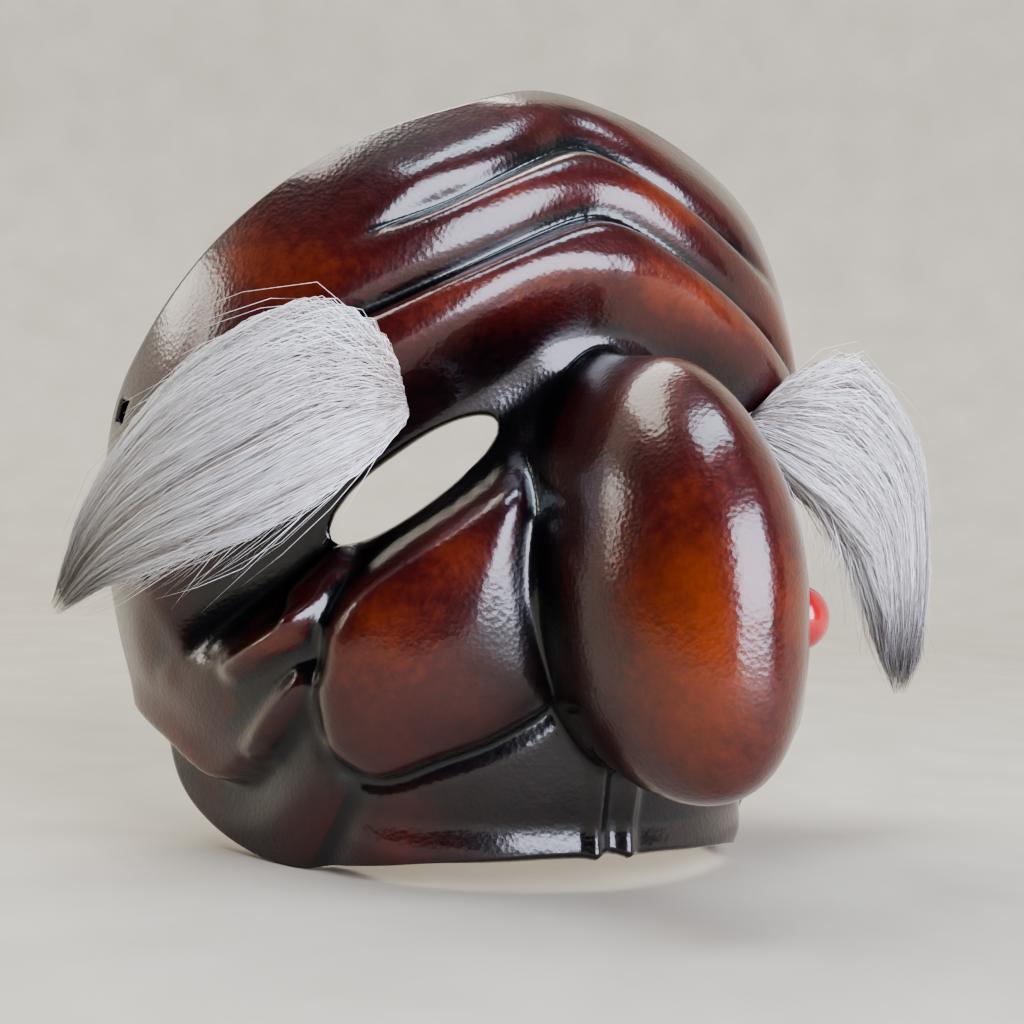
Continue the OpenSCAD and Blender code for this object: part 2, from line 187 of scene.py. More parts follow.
foldShape = {
    # height at the midline, slope, room above, rise below, depth, where it fades from and to
    "upperFold": (60.5, 0.50, 9.5, 4, 5.5, 38, 68),
    "lowerFold": (43.5, 0.50, 11.5, 4, 6.5, 50, 86),
    "socketLine": [(0, 12), (12, 9), (24, 0), (50, -17), (74, -34), (92, -46), (110, -58)],
    "smileLine": [(146, -72), (130, -77), (118, -81), (106, -86), (97, -86), (88, -80), (78, -70), (72, -58)],
    "lipLine": [(66, -74), (62, -81), (66, -90), (74, -101)],
    "cheekRise": 11,
    # outline of the cheek pad: down beside the nose, out along the bottom, up, and back over the top
    "padLine": [(24, -15), (19, -30), (15, -46), (16, -61), (29, -70), (43, -75.5), (55, -80), (63.5, -78),
                (68.5, -69), (66, -56), (62, -44), (51, -32.5), (38, -23), (28, -15), (24, -15)],
    "padRoom": [14, 14, 12, 11, 8.5, 9, 15, 15],
    # the crow's feet: root, tip, half width at each, rise
    "blades": [((61, -35.5), (75.5, -47), 5.8, 5, 7), ((65, -48), (93, -62), 6, 1.2, 7),
               ((67, -60), (87, -80), 4.5, 2.5, 5)],
}

noseShape = {"seat": (0, -92, -32), "halfLength": 44.5, "reach": 48, "droop": 0.21, "hang": 0.32,
             "topHalfWidth": 23, "lowHalfWidth": 25.5}


def basePoint(u, z):
    # an egg: x = w sin(u/r), y = -d cos(u/r), with w and d smooth curves of the height
    f = faceShape
    turn = u / f["arcRadius"]
    w, d = curveThrough(f["levels"], f["halfWidths"], z), curveThrough(f["levels"], f["depths"], z)
    return np.stack([w * np.sin(turn), -d * np.cos(turn), z + 0 * turn], -1)


def outwardDir(u, z):
    # straight out from the egg: round the head by u/r, and up by the lean at that height
    turn = u / faceShape["arcRadius"]
    lean = np.radians(curveThrough(faceShape["levels"], faceShape["leans"], z))
    return np.stack([np.sin(turn) * np.cos(lean), -np.cos(turn) * np.cos(lean), np.sin(lean) + 0 * turn], -1)


def foldRelief(a, z):
    # chevrons: a slow trough above each crease, and a quick roll back up below it
    h = 0
    for top, slope, above, below, depth, fadeFrom, fadeTo in (foldShape["upperFold"], foldShape["lowerFold"]):
        d = (z - top + slope * (np.sqrt(a * a + 81) - 9)) / np.sqrt(1 + slope * slope)
        near = 1 - smooth(fadeFrom, fadeTo, a)
        gap = np.sqrt(d * d + 1.4) - np.sqrt(1.4)
        h = h - depth * near * np.where(d > 0, 1 - rollOver(gap / (above * (0.4 + 0.6 * near))),
                                        1 - rollOver(gap / below))
    return h


def socketRelief(a, z):
    # a valley from the root of the nose through the eye and out to the temple
    d, s = besideLine(a, z, foldShape["socketLine"])
    deep = curveThrough([0, .17, .33, .5, .67, .83, 1], [11, 12, 15, 17, 16, 12, 2], s)
    above = curveThrough([0, .3, .6, 1], [20, 24, 26, 18], s)
    under = curveThrough([0, .3, .6, 1], [8, 16, 16, 10], s)
    up = d / above
    return -deep * np.where(d > 0, 1 - 0.35 * smooth(0, 1, up) - 0.65 * smooth(0.25, 1, up),
                            1 - smooth(0, 1, -d / under))


def cheekRelief(a, z):
    # the cheek pad: it rolls over quickly at its outer and lower edges, and slowly on top
    d, s = besideLine(a, z, foldShape["padLine"])
    room = curveThrough(np.linspace(0, 1, len(foldShape["padRoom"])), foldShape["padRoom"], s)
    inside = np.maximum(d, 0)
    rise = foldShape["cheekRise"] * (0.8 * rollOver(inside / room) ** 0.8 + 0.2 * smooth(0, 24, inside))
    return rise - 1.2 * np.exp(-((d + 1.5) / 2.2) ** 2)


def bladeRelief(a, z):
    # each crow's foot is a strip with a sharp upper edge that slopes down to its lower side
    h = 0
    for root, tip, rootWidth, tipWidth, rise in foldShape["blades"]:
        da, dz = tip[0] - root[0], tip[1] - root[1]
        length = np.hypot(da, dz)
        s = ((a - root[0]) * da + (z - root[1]) * dz) / length ** 2
        d = ((z - root[1]) * da - (a - root[0]) * dz) / length
        q = d / (rootWidth + (tipWidth - rootWidth) * np.clip(s, 0, 1))
        h = h + rise * smooth(-1.1, 0.6, q) * (1 - smooth(0.8, 1.25, q)) * smooth(-0.15, 0.2, s) \
            * (1 - smooth(0.88, 1.06, s))
    return h


def lowerRelief(a, z):
    # the hanging end of the smile, the crease beside the lip, the philtrum and the lip's edge
    d, s = besideLine(a, z, foldShape["smileLine"])
    h = smooth(0, 0.12, s) * (1 - smooth(0.8, 1, s)) * np.where(
        d > 0, -4.5 * (1 - smooth(0, 14, d)), 1.5 * (1 - smooth(0, 10, -d)))
    d, s = besideLine(a, z, foldShape["lipLine"])
    h = h - 4 * smooth(0, 0.25, s) * np.where(d > 0, 1 - rollOver(d / 7), 1 - rollOver(-d / 9))
    lip = 1 - smooth(-74, -70, z)
    h = h + lip * (2 * np.exp(-((a - 5) / 2.2) ** 2) - 1.6 * np.exp(-(a / 2.4) ** 2))
    return h + 2.5 * (1 - smooth(-97, -88, z)) * (1 - smooth(55, 75, a))


def relief(u, z):
    # the same on both sides, with the fold at the midline rounded off
    a = np.abs(u) + 2.5 * np.exp(-np.abs(u) / 2.5)
    return foldRelief(a, z) + socketRelief(a, z) + cheekRelief(a, z) + lowerRelief(a, z) + bladeRelief(a, z)


def strapPoint():
    # the middle of the line between the strap holes, which is the mask's origin
    u, z = faceShape["strap"]
    return basePoint(np.array(float(u)), np.array(float(z))) * (0, 1, 1)


def facePoint(u, z):
    # the egg with its relief, and the nose as half a capsule that droops as it comes forward
    n = noseShape
    skin = basePoint(u, z) + relief(u, z)[..., None] * outwardDir(u, z)
    x = u / curveThrough([-80, -60, -30, 0, 14], [20, 22, 22, 21, 19], z)
    y = (z - n["seat"][2]) / n["halfLength"]
    r, turn = np.hypot(x, y), np.arctan2(y, x)
    tip = np.minimum(r, 1.15) * np.pi / 2
    low = smooth(0.8, -0.7, np.sin(turn) * np.minimum(r, 1))
    side = n["topHalfWidth"] + (n["lowHalfWidth"] - n["topHalfWidth"]) * low
    ahead = n["reach"] * np.sign(np.cos(tip)) * np.abs(np.cos(tip)) ** 0.85
    ahead = ahead * (1 + n["hang"] * np.clip(-np.sin(turn) * np.sin(tip), 0, 1) ** 1.5)
    nose = np.stack([side * np.sin(tip) * np.cos(turn), n["seat"][1] - ahead,
                     n["seat"][2] + n["halfLength"] * np.sin(tip) * np.sin(turn) - n["droop"] * ahead], -1)
    share = (1 - smooth(0.88, 1.06, r))[..., None]
    return skin * (1 - share) + nose * share - strapPoint()


def liftOut(points, gap):
    # points that would lie under the leather are moved out, away from the mask's axis, to just over it
    f = faceShape
    place = points + strapPoint()
    z = place[..., 2]
    w, d = curveThrough(f["levels"], f["halfWidths"], z), curveThrough(f["levels"], f["depths"], z)
    u = f["arcRadius"] * np.arctan2(place[..., 0] / w, -place[..., 1] / d)
    shell = np.linalg.norm(basePoint(u, z)[..., :2], axis=-1) + relief(u, z) + gap
    reach = np.linalg.norm(place[..., :2], axis=-1)
    more = np.maximum(shell / reach, 1)[..., None] - 1
    return points + place * more * (1, 1, 0)


def rimRadius(angle):
    # distance of the rim from its centre in (u, z), a smooth curve of the angle
    arms = np.array(faceShape["rimLine"], float) - faceShape["rimCentre"]
    return curveThrough(np.arctan2(arms[:, 1], arms[:, 0]), np.hypot(arms[:, 0], arms[:, 1]), angle)


# meshes and the holes in the formed sheet
def makePiece(name, points, triangles, material, slotName, nodes=(), values=None, sides=None):
    mesh = bpy.data.meshes.new(name)
    mesh.vertices.add(len(points))
    mesh.vertices.foreach_set("co", (np.asarray(points) * mm).astype(np.float32).ravel())
    mesh.loops.add(len(triangles) * 3)
    mesh.loops.foreach_set("vertex_index", np.asarray(triangles, np.int32).ravel())
    mesh.polygons.add(len(triangles))
    mesh.polygons.foreach_set("loop_start", np.arange(0, len(triangles) * 3, 3, dtype=np.int32))
    mesh.polygons.foreach_set("use_smooth", np.ones(len(triangles), bool))
    for each in material if isinstance(material, (list, tuple)) else [material]:
        mesh.materials.append(each)
    if sides is not None:
        mesh.polygons.foreach_set("material_index", np.asarray(sides, np.int32))
    for key, value in (values or {}).items():
        mesh.attributes.new(key, "FLOAT", "POINT").data.foreach_set("value", np.asarray(value, np.float32))
    mesh.update(calc_edges=True)
    mesh.validate()
    piece = bpy.data.objects.new(name, mesh)
    scene.collection.objects.link(piece)
    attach(piece, "root")
    if nodes:
        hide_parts(*nodes)
    return piece


def quads(a, b, c, d):
    # two triangles for each quad of four index arrays
    a, b, c, d = (np.asarray(x).ravel() for x in (a, b, c, d))
    return np.concatenate([np.stack([a, b, c], 1), np.stack([a, c, d], 1)])


def around(i1, i2, j1, j2, step=1):
    # grid indices round a block: along the bottom, up the right, back along the top, down the left
    right, up = np.arange(i1, i2, step), np.arange(j1, j2, step)
    left, down = np.arange(i2, i1, -step), np.arange(j2, j1, -step)
    i = np.concatenate([right, np.full(len(up), i2), left, np.full(len(down), i1)])
    j = np.concatenate([np.full(len(right), j1), up, np.full(len(left), j2), down])
    return i, j


def eyeFlat(a, z):
    # looks straight at the eye hole: 1 is its edge, along it and across it
    f = faceShape
    c, s = np.cos(np.radians(f["eyeTilt"])), np.sin(np.radians(f["eyeTilt"]))
    ends = facePoint(f["eye"][0] + np.array([-21, 21]) * c, f["eye"][1] + np.array([-21, 21]) * s)
    out = outwardDir(np.array(float(f["eye"][0])), np.array(float(f["eye"][1])))
    along = unit((ends[1] - ends[0]) - ((ends[1] - ends[0]) @ out) * out)
    offset = facePoint(a, z) - ends.mean(0)
    return offset @ along / f["eyeRadii"][0], offset @ np.cross(along, -out) / f["eyeRadii"][1]


def strapFlat(a, z):
    # looks along the X axis at the strap hole
    point = facePoint(a, z)
    return point[..., 1] / faceShape["strapRadius"], point[..., 2] / faceShape["strapRadius"]


def openBlock(u, z, centre, flat, cells, reach, room):
    # moves the points round a block of cells so that the block's edge becomes the hole's edge
    a = np.abs(u)
    x, y = flat(a, z)
    half = u.shape[1] // 2
    nearby = np.hypot(a - centre[0], z - centre[1]) < room
    near = np.where((u > 0) & nearby, x * x + y * y, 1e9)
    j0, i0 = np.unravel_index(np.argmin(near), u.shape)
    if cells:
        i0, j0 = i0 // 2 * 2, j0 // 2 * 2
        i1, i2, j1, j2 = i0 - cells[0], i0 + cells[0], j0 - cells[1], j0 + cells[1]
    else:
        row = np.where(nearby[j0, half:], x[j0, half:], 9)
        column = np.where(nearby[:, i0], y[:, i0], 9)
        widest, tallest = 0.72, 0.60             # of the hole's radii, so that the block fits in it
        ends = [half + np.argmin(np.abs(row - side * widest)) for side in (-1, 1)]
        i1, i2 = min(ends) // 2 * 2, max(ends) // 2 * 2
        ends = [np.argmin(np.abs(column - side * tallest)) for side in (-1, 1)]
        j1, j2 = min(ends) // 2 * 2, max(ends) // 2 * 2
    edgeI, edgeJ = around(i1, i2, j1, j2)
    edgeX, edgeY = x[edgeJ, edgeI], y[edgeJ, edgeI]
    patch = nearby & (np.hypot(x, y) < reach)
    x, y, a, z = x[patch], y[patch], a[patch], z.copy()
    turn, r = np.arctan2(y, x), np.hypot(x, y)
    block = np.interp(turn, np.arctan2(edgeY, edgeX), np.hypot(edgeX, edgeY), period=2 * np.pi)
    moved = np.where(r < block, r / block, 1 + (r - block) * (reach - 1) / np.maximum(reach - block, 0.05))
    goal = np.stack([moved * np.cos(turn), moved * np.sin(turn)])
    # Newton's steps find the (u, z) that is seen at the wanted place
    b, step = z[patch], 0.05
    for _ in range(10):
        here, right, above = (np.stack(flat(*at)) for at in ((a, b), (a + step, b), (a, b + step)))
        e, f, g = goal - here, (right - here) / step, (above - here) / step
        det = f[0] * g[1] - f[1] * g[0]
        det = np.where(np.abs(det) < 1e-4, 1e-4, det)
        da, db = (e[0] * g[1] - e[1] * g[0]) / det, (f[0] * e[1] - f[1] * e[0]) / det
        limit = np.minimum(1, 1.0 / np.maximum(np.hypot(da, db), 1e-9))
        a, b = a + da * limit, b + db * limit
    out = u.copy()
    out[patch] = np.where(u[patch] < 0, -a, a)
    z[patch] = b
    return out, z, (i1, i2, j1, j2)


# the formed leather
def sheetGrid(columns, rows):
    # a square grid laid over the outline, leaning along the eye line, opened at the eyes and straps
    a, b = np.meshgrid(np.linspace(-1, 1, columns), np.linspace(-1, 1, rows))
    c = a * (0.72 + 0.28 * a * a)
    p, q = c * np.sqrt(1 - b * b / 2), b * np.sqrt(1 - c * c / 2)
    r = rimRadius(np.arctan2(q, np.abs(p)))
    u, z = p * r, q * r + faceShape["rimCentre"][1]
    eye = faceShape["eye"]
    inside = 1 - np.maximum(np.abs(a), np.abs(b)) ** 6
    reach, tall, slope = 28, 26, 0.6
    bend = slope * reach * np.tanh((np.abs(u) - eye[0]) / reach)
    z = z - bend * np.exp(-((z - eye[1]) / tall) ** 2) * inside
    u, z, eyeBlock = openBlock(u, z, eye, eyeFlat, None, 1.4, 32)
    u, z, strapBlock = openBlock(u, z, faceShape["strap"], strapFlat, (2, 4), 3.0, 9)
    return u, z, eyeBlock, strapBlock


def mirrored(block, columns):
    return columns - 1 - block[1], columns - 1 - block[0], block[2], block[3]


def insideBlocks(shape, blocks, step=1):
    # marks the cells of a grid that lie in a block
    mask = np.zeros(shape, bool)
    for i1, i2, j1, j2 in blocks:
        mask[j1 // step:j2 // step, i1 // step:i2 // step] = True
    return mask


def wall(points, outerLoop, innerLoop, direction, bulge, hole):
    # rounds the cut edge: rings bulge along direction between the outer and the inner loop
    shares = np.array([0.2, 0.5, 0.8])
    rings = []
    for s in shares:
        between = points[outerLoop] * (1 - s) + innerLoop[1] * s
        rings.append(between + direction * bulge * np.sin(np.pi * s))
    n, start = len(outerLoop), len(points)
    ids = [outerLoop] + [start + k * n + np.arange(n) for k in range(len(shares))]
    faces = []
    for one, two in zip(ids[:-1], ids[1:]):
        faces.append(quads(one, two, np.roll(two, -1), np.roll(one, -1)))
    last, inner = ids[-1], innerLoop[0]
    even, odd, after = last[0::2], last[1::2], np.roll(last[0::2], -1)
    innerNext = np.roll(inner, -1)
    faces.append(np.stack([even, inner, odd], 1))
    faces.append(np.stack([odd, inner, innerNext], 1))
    faces.append(np.stack([odd, innerNext, after], 1))
    faces = np.concatenate(faces)
    return np.concatenate(rings), faces[:, ::-1] if hole else faces


def buildShell(columns=321, rows=225):
    u, z, eyeBlock, strapBlock = sheetGrid(columns, rows)
    outer = facePoint(u, z)
    blocks = [eyeBlock, mirrored(eyeBlock, columns), strapBlock, mirrored(strapBlock, columns)]
    hard = insideBlocks(outer.shape[:2], [(a - 5, b + 6, c - 5, d + 6) for a, b, c, d in blocks])
    outer = outer + (blurGrid(outer, 1) - outer) * (1 - blurGrid(hard.astype(float), 1))[..., None]
    soft = blurGrid(outer, 3)
    thick = faceShape["thickness"]
    # the inside follows a softened outside, and drops further where a crease cuts below it
    sink = np.minimum(((outer - soft) * gridNormals(soft)).sum(-1), 0) * 1.1
    for _ in range(2):
        sink = np.minimum(sink, blurGrid(sink, 2))
    inner = soft + (sink - thick)[..., None] * gridNormals(soft)
    # the holes are cut straight through, so round them the inside stays right behind the outside
    eyeAhead = outwardDir(np.sign(u) * faceShape["eye"][0], faceShape["eye"][1] + 0 * u)
    strapAhead = np.stack([np.sign(u), 0 * u, 0 * u], -1)
    for flat, ahead, fade in ((eyeFlat, eyeAhead, 1.4), (strapFlat, strapAhead, 2.4)):
        x, y = flat(np.abs(u), z)
        share = (1 - smooth(1.02, fade, np.hypot(x, y)))[..., None]
        drift = inner - outer
        inner = inner - share * (drift - (drift * ahead).sum(-1, keepdims=True) * ahead)
    inner = inner[::2, ::2]

    n = columns * rows
    ids = np.arange(n).reshape(rows, columns)
    keep = ~insideBlocks((rows - 1, columns - 1), blocks)
    front = quads(ids[:-1, :-1][keep], ids[:-1, 1:][keep], ids[1:, 1:][keep], ids[1:, :-1][keep])
    back = n + np.arange(inner.shape[0] * inner.shape[1]).reshape(inner.shape[:2])
    keep = ~insideBlocks((back.shape[0] - 1, back.shape[1] - 1), blocks, 2)
    rear = quads(back[:-1, :-1][keep], back[1:, :-1][keep], back[1:, 1:][keep], back[:-1, 1:][keep])

    points = np.concatenate([outer.reshape(-1, 3), inner.reshape(-1, 3)])
    faces, sides = [front, rear], [np.zeros(len(front)), np.ones(len(rear))]
    for k, (i1, i2, j1, j2) in enumerate([(0, columns - 1, 0, rows - 1)] + blocks):
        i, j = around(i1, i2, j1, j2)
        ci, cj = i[::2] // 2, j[::2] // 2
        coarse = inner[cj, ci]
        fine = np.stack([coarse, (coarse + np.roll(coarse, -1, 0)) / 2], 1).reshape(-1, 3)
        if k:
            direction = unit(outer[j, i].mean(0) - outer[j, i])
        else:
            inward = outer[np.clip(j, 3, rows - 4), np.clip(i, 3, columns - 4)]
            direction = unit(outer[j, i] - inward)
        bulge = 0.15 if k > 2 else 0.3 * thick    # the strap holes are punched, the rest is rounded off
        ring, faceSet = wall(points, ids[j, i], (back[cj, ci], fine), direction, bulge, bool(k))
        points = np.concatenate([points, ring])
        faces.append(faceSet)
        sides.append(np.zeros(len(faceSet)))

    # where the dye is rubbed back: convex places, and none in the creases, which are darkened with painted
    # shade instead
    normal = gridNormals(outer)
    broad = ((outer - blurGrid(outer, 24)) * normal).sum(-1)
    high = ((outer - blurGrid(outer, 9)) * normal).sum(-1)
    close = ((outer - blurGrid(outer, 2)) * normal).sum(-1)
    glow, crease = np.zeros(len(points)), np.zeros(len(points))
    broadShare, highShare = leatherFinish["rubbedShares"]
    glow[:n] = blurGrid(broadShare * smooth(0, 6, broad) + highShare * smooth(0, 1.8, high), 3).ravel()
    for spotU, spotZ, wide, tall, strength in leatherFinish["spots"]:
        glow[:n] += strength * np.exp(-((np.abs(u) - spotU) / wide) ** 2 - ((z - spotZ) / tall) ** 2).ravel()
    # painted shade: the small hollows and creases, from how far the surface dips below its close surroundings
    crease[:n] = smooth(0.02, 0.35, -close).ravel()
    used = np.zeros(len(points), bool)
    faces = np.concatenate(faces)
    used[faces.ravel()] = True
    index = np.cumsum(used) - 1
    return points[used], index[faces], np.concatenate(sides), {"glow": glow[used], "crease": crease[used]}


# materials
def newMaterial(name):
    material = bpy.data.materials.new(name)
    material.use_nodes = True
    nodes, links = material.node_tree.nodes, material.node_tree.links
    return material, nodes, links, nodes["Principled BSDF"]


def addNoise(nodes, links, scale, detail=4, rough=0.55, stretch=None):
    place = nodes.new("ShaderNodeTexCoord")
    noise = nodes.new("ShaderNodeTexNoise")
    noise.inputs["Scale"].default_value = scale
    noise.inputs["Detail"].default_value = detail
    noise.inputs["Roughness"].default_value = rough
    if stretch:
        mapping = nodes.new("ShaderNodeMapping")
        mapping.inputs["Scale"].default_value = stretch
        links.new(place.outputs["Object"], mapping.inputs["Vector"])
        links.new(mapping.outputs["Vector"], noise.inputs["Vector"])
    else:
        links.new(place.outputs["Object"], noise.inputs["Vector"])
    return noise


def addRamp(nodes, links, source, stops):
    ramp = nodes.new("ShaderNodeValToRGB")
    for element, (place, color) in zip(ramp.color_ramp.elements, (stops[0], stops[-1])):
        element.position, element.color = place, (*color, 1)
    for place, color in stops[1:-1]:
        ramp.color_ramp.elements.new(place).color = (*color, 1)
    links.new(source, ramp.inputs["Fac"])
    return ramp.outputs["Color"]


def addMath(nodes, links, operation, one, two):
    step = nodes.new("ShaderNodeMath")
    step.operation = operation
    for k, value in enumerate((one, two)):
        if isinstance(value, (int, float)):
            step.inputs[k].default_value = value
        else:
            links.new(value, step.inputs[k])
    return step.outputs["Value"]


def addBump(nodes, links, shader, heights, socket="Normal"):
    # heights is a list of (height output, strength, distance in metres), laid one on the other
    normal = None
    for height, strength, distance in heights:
        bump = nodes.new("ShaderNodeBump")
        bump.inputs["Strength"].default_value = strength
        bump.inputs["Distance"].default_value = distance
        links.new(height, bump.inputs["Height"])
        if normal:
            links.new(normal, bump.inputs["Normal"])
        normal = bump.outputs["Normal"]
    links.new(normal, shader.inputs[socket])
    return normal


finishColors = {                             # the darker and the lighter colour of each
    "flesh": ((0.10, 0.050, 0.026), (0.19, 0.105, 0.06)),
    "hem": ((0.030, 0.014, 0.009), (0.065, 0.032, 0.02)),
    "skin": ((0.42, 0.36, 0.31), (0.62, 0.56, 0.50)),
    "wart": ((0.30, 0.004, 0.008), (0.50, 0.010, 0.016)),
    "foam": ((0.012, 0.011, 0.011), (0.045, 0.042, 0.042)),
    "wire": ((0.32, 0.31, 0.30), (0.55, 0.54, 0.52)),
    "stage": ((0.42, 0.385, 0.31), (0.475, 0.44, 0.365)),
    "furTones": [(0.0, (0.30, 0.22, 0.17)), (0.25, (0.55, 0.47, 0.41)), (0.55, (0.74, 0.72, 0.71)),
                 (1.0, (0.90, 0.91, 0.94))],
    "furTip": (0.045, 0.028, 0.022),
}

leatherFinish = {
    "dark": (0.0016, 0.0009, 0.0018),        # the darkest dye, and painted shade in the creases
    "deep": (0.0085, 0.0013, 0.0024),        # most of the face
    "warm": (0.046, 0.0038, 0.0032),
    "rubbed": (0.175, 0.029, 0.005),         # on the high spots
    "rubbedShares": (0.19, 0.17),            # how much broad and small high spots are rubbed
    "grainSize": 900,                        # pebbles per metre
    "roughness": 0.30,
    "polish": 0.95,
    # where the dye is rubbed back to orange: (u, z), half width, half height, strength
    "spots": [(8, -28, 9, 24, 0.40), (54, -50, 14, 13, 0.46), (34, -32, 9, 7, 0.25), (14, 25, 24, 7, 0.40),
              (14, 46, 30, 6, 0.30), (88, 27, 20, 15, 0.42), (84, -51, 14, 6, 0.60), (44, 20, 22, 7, 0.18),
              (20, 64, 30, 6, 0.22), (108, -87, 14, 8, 0.30)],
}


def makeLeather(finish):
    material, nodes, links, shader = newMaterial("dyedLeather")
    glow = nodes.new("ShaderNodeAttribute")
    glow.attribute_name = "glow"
    crease = nodes.new("ShaderNodeAttribute")
    crease.attribute_name = "crease"
    cloud = addNoise(nodes, links, 22, 3).outputs["Fac"]
    mottle = addNoise(nodes, links, 420, 3).outputs["Fac"]
    # the high spots, broken up by slow clouds of more and less dye
    patchy = addMath(nodes, links, "MULTIPLY", cloud, 1.8)
    amount = addMath(nodes, links, "ADD", glow.outputs["Fac"], 0.08)
    amount = addMath(nodes, links, "MULTIPLY", amount, patchy)
    amount = addMath(nodes, links, "ADD", amount, addMath(
        nodes, links, "MULTIPLY", addMath(nodes, links, "SUBTRACT", mottle, 0.5), 0.35))
    # painted shade: the colour is pulled down towards the darkest stop in the creases
    amount = addMath(nodes, links, "SUBTRACT", amount, addMath(
        nodes, links, "MULTIPLY", crease.outputs["Fac"], 0.6))
    color = addRamp(nodes, links, amount, [
        (0.0, finish["dark"]), (0.14, finish["deep"]), (0.50, finish["warm"]), (0.98, finish["rubbed"])])
    links.new(color, shader.inputs["Base Color"])
    grain = nodes.new("ShaderNodeTexVoronoi")
    grain.inputs["Scale"].default_value = finish["grainSize"]
    place = nodes.new("ShaderNodeTexCoord")
    links.new(place.outputs["Object"], grain.inputs["Vector"])
    fine = addNoise(nodes, links, 1500, 4).outputs["Fac"]
    wave = addNoise(nodes, links, 75, 3).outputs["Fac"]
    addBump(nodes, links, shader, [(wave, 0.30, 0.0006), (grain.outputs["Distance"], 0.18, 0.0003),
                                   (fine, 0.15, 0.0002)])
    addBump(nodes, links, shader, [(wave, 0.25, 0.0006), (grain.outputs["Distance"], 0.10, 0.0003),
                                   (fine, 0.10, 0.0002)], "Coat Normal")
    rough = nodes.new("ShaderNodeMapRange")
    rough.inputs["To Min"].default_value = finish["roughness"] - 0.06
    rough.inputs["To Max"].default_value = finish["roughness"] + 0.10
    links.new(mottle, rough.inputs["Value"])
    links.new(rough.outputs["Result"], shader.inputs["Roughness"])
    shader.inputs["Specular IOR Level"].default_value = 0.25
    shader.inputs["Coat Weight"].default_value = finish["polish"]
    shader.inputs["Coat Roughness"].default_value = 0.14
    shader.inputs["Coat IOR"].default_value = 1.5
    return material


def addClouds(nodes, links, shader, source, colors, low=0.3, high=0.7):
    # the base colour runs from the first to the second colour as source goes from low to high
    color = addRamp(nodes, links, source, [(low, colors[0]), (high, colors[1])])
    links.new(color, shader.inputs["Base Color"])


def makeSuede(name, colors, scale=260):
    material, nodes, links, shader = newMaterial(name)
    cloud = addNoise(nodes, links, scale, 6, 0.7).outputs["Fac"]
    addClouds(nodes, links, shader, cloud, colors)
    nap = addNoise(nodes, links, 2200, 5, 0.7).outputs["Fac"]
    addBump(nodes, links, shader, [(cloud, 0.3, 0.0008), (nap, 0.5, 0.0004)])
    shader.inputs["Roughness"].default_value = 0.88
    shader.inputs["Sheen Weight"].default_value = 0.25
    shader.inputs["Specular IOR Level"].default_value = 0.25
    return material


def makeFur():
    # colour runs along each hair: pale at the skin, dark at the tips of the long ones
    material, nodes, links, shader = newMaterial("browFur")
    tip = nodes.new("ShaderNodeAttribute")
    tip.attribute_name = "tip"
    tone = nodes.new("ShaderNodeAttribute")
    tone.attribute_name = "tone"
    pale = addRamp(nodes, links, tone.outputs["Fac"], finishColors["furTones"])
    mix = nodes.new("ShaderNodeMix")
    mix.data_type = "RGBA"
    mix.inputs["B"].default_value = (*finishColors["furTip"], 1)
    links.new(tip.outputs["Fac"], mix.inputs["Factor"])
    links.new(pale, mix.inputs["A"])
    links.new(mix.outputs["Result"], shader.inputs["Base Color"])
    shader.inputs["Roughness"].default_value = 0.42
    shader.inputs["Specular IOR Level"].default_value = 0.55
    shader.inputs["Sheen Weight"].default_value = 0.15
    return material


def makeWartGloss():
    material, nodes, links, shader = newMaterial("wartGloss")
    cloud = addNoise(nodes, links, 160, 3).outputs["Fac"]
    addClouds(nodes, links, shader, cloud, finishColors["wart"])
    addBump(nodes, links, shader, [(cloud, 0.15, 0.0004)])
    shader.inputs["Roughness"].default_value = 0.22
    shader.inputs["Coat Weight"].default_value = 1.0
    shader.inputs["Coat Roughness"].default_value = 0.04
    return material


def makeFoam():
    material, nodes, links, shader = newMaterial("openFoam")
    cells = nodes.new("ShaderNodeTexVoronoi")
    cells.inputs["Scale"].default_value = 1100
    place = nodes.new("ShaderNodeTexCoord")
    links.new(place.outputs["Object"], cells.inputs["Vector"])
    addClouds(nodes, links, shader, cells.outputs["Distance"], finishColors["foam"], low=0.0)
    addBump(nodes, links, shader, [(cells.outputs["Distance"], 0.7, 0.0004)])
    shader.inputs["Roughness"].default_value = 0.95
    return material


def makeWireMetal():
    material, nodes, links, shader = newMaterial("softWire")
    streak = addNoise(nodes, links, 300, 4).outputs["Fac"]
    addClouds(nodes, links, shader, streak, finishColors["wire"])
    addBump(nodes, links, shader, [(streak, 0.2, 0.0002)])
    shader.inputs["Metallic"].default_value = 1.0
    shader.inputs["Roughness"].default_value = 0.38
    return material


def makeStagePaint():
    material, nodes, links, shader = newMaterial("paleStage")
    weave = addNoise(nodes, links, 30, 4).outputs["Fac"]
    addClouds(nodes, links, shader, weave, finishColors["stage"])
    shader.inputs["Roughness"].default_value = 0.9
    return material


# the fur of the brows
furShape = {
    "right": {
        "route": [(-42, -71, 11), (-63, -66, 6), (-79, -49, -7), (-88, -29, -18), (-94, -8, -31),
                  (-99, 8, -47)],
        "seed": 11,
    },
    "left": {
        "route": [(43, -71, 11), (62, -71, 4), (80, -64, -9), (89, -60, -25), (94, -58, -43),
                  (95, -58, -61)],
        "seed": 23,
    },
    "widths": [26, 32, 34, 28, 18, 3],
    "thick": [7.5, 12.5, 15, 12, 7.5, 2],
    "hide": {"centre": (72, -6), "radii": (23, 8), "tilt": -16, "lift": (0.1, 1.4)},
    "hairs": 5600,                           # hairs in each layer
    "layers": 3,                             # from the skin to the outside of the tuft
    "clumps": 90,
    "radius": 0.10,
    "tipLength": 0.42,                       # share of the tuft that is dark at its end
}


